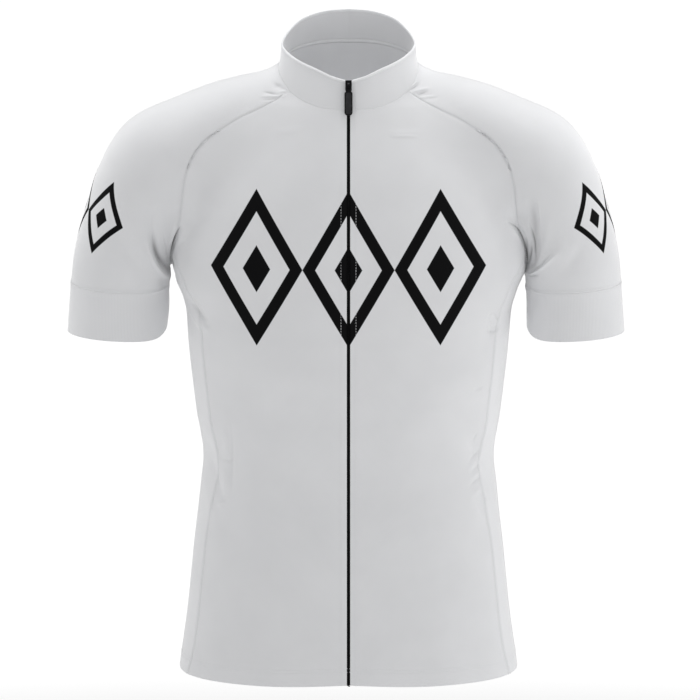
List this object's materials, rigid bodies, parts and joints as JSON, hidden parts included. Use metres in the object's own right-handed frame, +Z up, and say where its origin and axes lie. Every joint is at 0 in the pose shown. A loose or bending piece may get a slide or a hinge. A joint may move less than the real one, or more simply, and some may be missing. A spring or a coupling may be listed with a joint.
{
  "type": "cycling jersey",
  "caption": "Short-sleeved raglan cycling jersey with a stand collar, a full-length front zip, side panels, cuff bands and a divided rear pocket.",
  "frame": {"origin": "the middle of the neck at shoulder height, where the wearer's shoulders hold the jersey up", "axes": "+Z up along the body, +Y towards the back, so that the zip faces -Y, and +X towards the wearer's left"},
  "size_m": [0.567, 0.239, 0.7021],
  "materials": {
    "knit": "smooth polyester knit with a soft sheen",
    "side_knit": "lighter stretch knit",
    "cuff_knit": "firm elastic knit",
    "zip_tape": "woven tape",
    "zip_coil": "black nylon coil",
    "zip_metal": "black coated metal"
  },
  "bodies": {
    "jersey": {"back": "knit", "collar": "knit", "cuff_left": "cuff_knit", "cuff_right": "cuff_knit", "front_left": "knit", "front_right": "knit", "rear_pocket": "knit", "side_left": "side_knit", "side_right": "side_knit", "sleeve_left": "knit", "sleeve_right": "knit", "zip_tape_left": "zip_tape", "zip_tape_right": "zip_tape", "zip_chain": "zip_coil", "zip_slider": "zip_metal"},
    "pull_tab": {"zip_pull_tab": "zip_metal"}
  },
  "joints": [
    {"name": "pull_tab_swing", "type": "hinge", "parent": "jersey", "child": "pull_tab", "pos_m": [0, -0.06789, -0.00303], "axis": [-1, 0, 0], "range_deg": [0, 160]}
  ]
}
